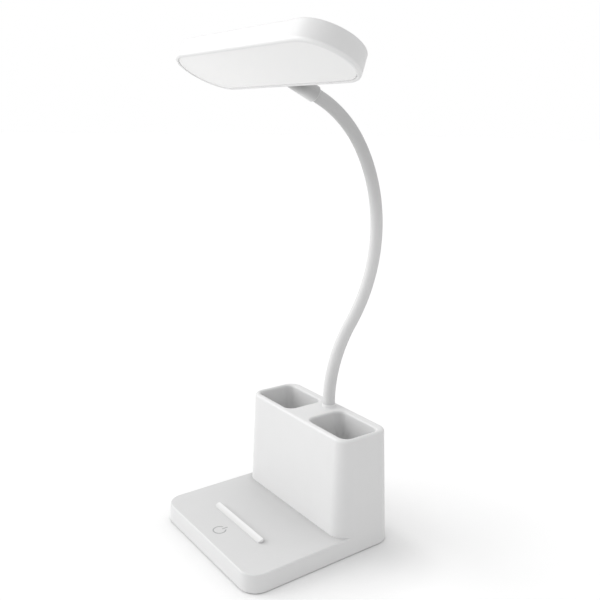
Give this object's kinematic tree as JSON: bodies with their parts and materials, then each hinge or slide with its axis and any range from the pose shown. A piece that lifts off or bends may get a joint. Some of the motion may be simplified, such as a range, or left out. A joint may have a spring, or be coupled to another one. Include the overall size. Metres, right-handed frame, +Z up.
{
  "type": "desk lamp with pen holder base",
  "caption": "Rechargeable desk lamp: square base with phone tray and pen-well tower, gooseneck, and a long flat lamp head with rounded ends.",
  "frame": {"origin": "on the table, under the middle of the square base", "axes": "+X to the right along the tower and the lamp head, -Y to the user (the tray side), +Z up"},
  "size_m": [0.1738, 0.1515, 0.3412],
  "materials": {
    "housing_white": "fine satin moulding texture",
    "stop_white": "matt soft strip",
    "diffuser_milk": "milky translucent",
    "mark_grey": "matt print",
    "sleeve_white": "smooth matt silicone",
    "ferrule_white": "satin",
    "pad_grey": "matt foam rubber",
    "cover_white": "satin",
    "steel": "zinc plated",
    "nickel": "turned",
    "board_green": "solder mask",
    "board_white": "white solder mask on aluminium",
    "black_parts": "moulded packages",
    "cell_wrap": "shrink wrap",
    "holder_black": "satin",
    "chip_yellow": "phosphor",
    "sheet_white": "satin film",
    "wire_red": "PVC",
    "grommet_white": "satin"
  },
  "bodies": {
    "base": {"housing_shell": "housing_white", "touch_mark": "mark_grey", "phone_stop": "stop_white", "bottom_cover": "cover_white", "cover_screws": "steel", "anti_slip_pad": "pad_grey", "counterweight_plate": "steel", "weight_screws": "steel", "control_board": "board_green", "board_components": "black_parts", "board_screws": "steel", "touch_spring": "steel", "battery_cell": "cell_wrap", "cell_holder": "holder_black", "cell_contacts": "steel", "charge_board": "board_green", "charge_board_screws": "steel", "usb_socket": "steel", "usb_contact_tongue": "holder_black", "neck_grommet": "grommet_white", "neck_lower_fitting": "nickel", "neck_washer": "steel", "neck_nut": "nickel", "neck_sleeve_0": "sleeve_white", "neck_core_0": "steel"},
    "neck_link_1": {"neck_sleeve_1": "sleeve_white", "neck_core_1": "steel"},
    "neck_link_2": {"neck_sleeve_2": "sleeve_white", "neck_core_2": "steel"},
    "neck_link_3": {"neck_sleeve_3": "sleeve_white", "neck_core_3": "steel"},
    "neck_link_4": {"neck_sleeve_4": "sleeve_white", "neck_core_4": "steel"},
    "neck_link_5": {"neck_sleeve_5": "sleeve_white", "neck_core_5": "steel"},
    "neck_link_6": {"neck_sleeve_6": "sleeve_white", "neck_core_6": "steel"},
    "neck_link_7": {"neck_sleeve_7": "sleeve_white", "neck_core_7": "steel"},
    "lamp_head": {"neck_sleeve_8": "sleeve_white", "neck_core_8": "steel", "head_ferrule": "ferrule_white", "head_ring_nut": "nickel", "head_housing": "housing_white", "diffuser": "diffuser_milk", "led_board": "board_white", "led_chips": "chip_yellow", "led_board_screws": "steel", "reflector_sheet": "sheet_white", "head_leads": "wire_red"}
  },
  "joints": [
    {"name": "neck_nod_1", "type": "hinge", "parent": "base", "child": "neck_link_1", "pos_m": [0, 0.0467, 0.0888], "axis": [1, 0, 0], "range_deg": [-22, 22]},
    {"name": "neck_sway_2", "type": "hinge", "parent": "neck_link_1", "child": "neck_link_2", "pos_m": [0, 0.05143, 0.11847], "axis": [0, 0.9505, -0.3107], "range_deg": [-22, 22]},
    {"name": "neck_nod_3", "type": "hinge", "parent": "neck_link_2", "child": "neck_link_3", "pos_m": [0, 0.06513, 0.1452], "axis": [1, 0, 0], "range_deg": [-22, 22]},
    {"name": "neck_sway_4", "type": "hinge", "parent": "neck_link_3", "child": "neck_link_4", "pos_m": [0, 0.08063, 0.1748], "axis": [0, 0.9452, -0.3266], "range_deg": [-22, 22]},
    {"name": "neck_nod_5", "type": "hinge", "parent": "neck_link_4", "child": "neck_link_5", "pos_m": [0, 0.08671, 0.20764], "axis": [1, 0, 0], "range_deg": [-22, 22]},
    {"name": "neck_sway_6", "type": "hinge", "parent": "neck_link_5", "child": "neck_link_6", "pos_m": [0, 0.08285, 0.24083], "axis": [0, 0.965, 0.2624], "range_deg": [-22, 22]},
    {"name": "neck_nod_7", "type": "hinge", "parent": "neck_link_6", "child": "neck_link_7", "pos_m": [0, 0.06938, 0.27139], "axis": [1, 0, 0], "range_deg": [-22, 22]},
    {"name": "neck_sway_8", "type": "hinge", "parent": "neck_link_7", "child": "lamp_head", "pos_m": [0, 0.0535, 0.29002], "axis": [0, 0.6623, 0.7492], "range_deg": [-22, 22]}
  ]
}
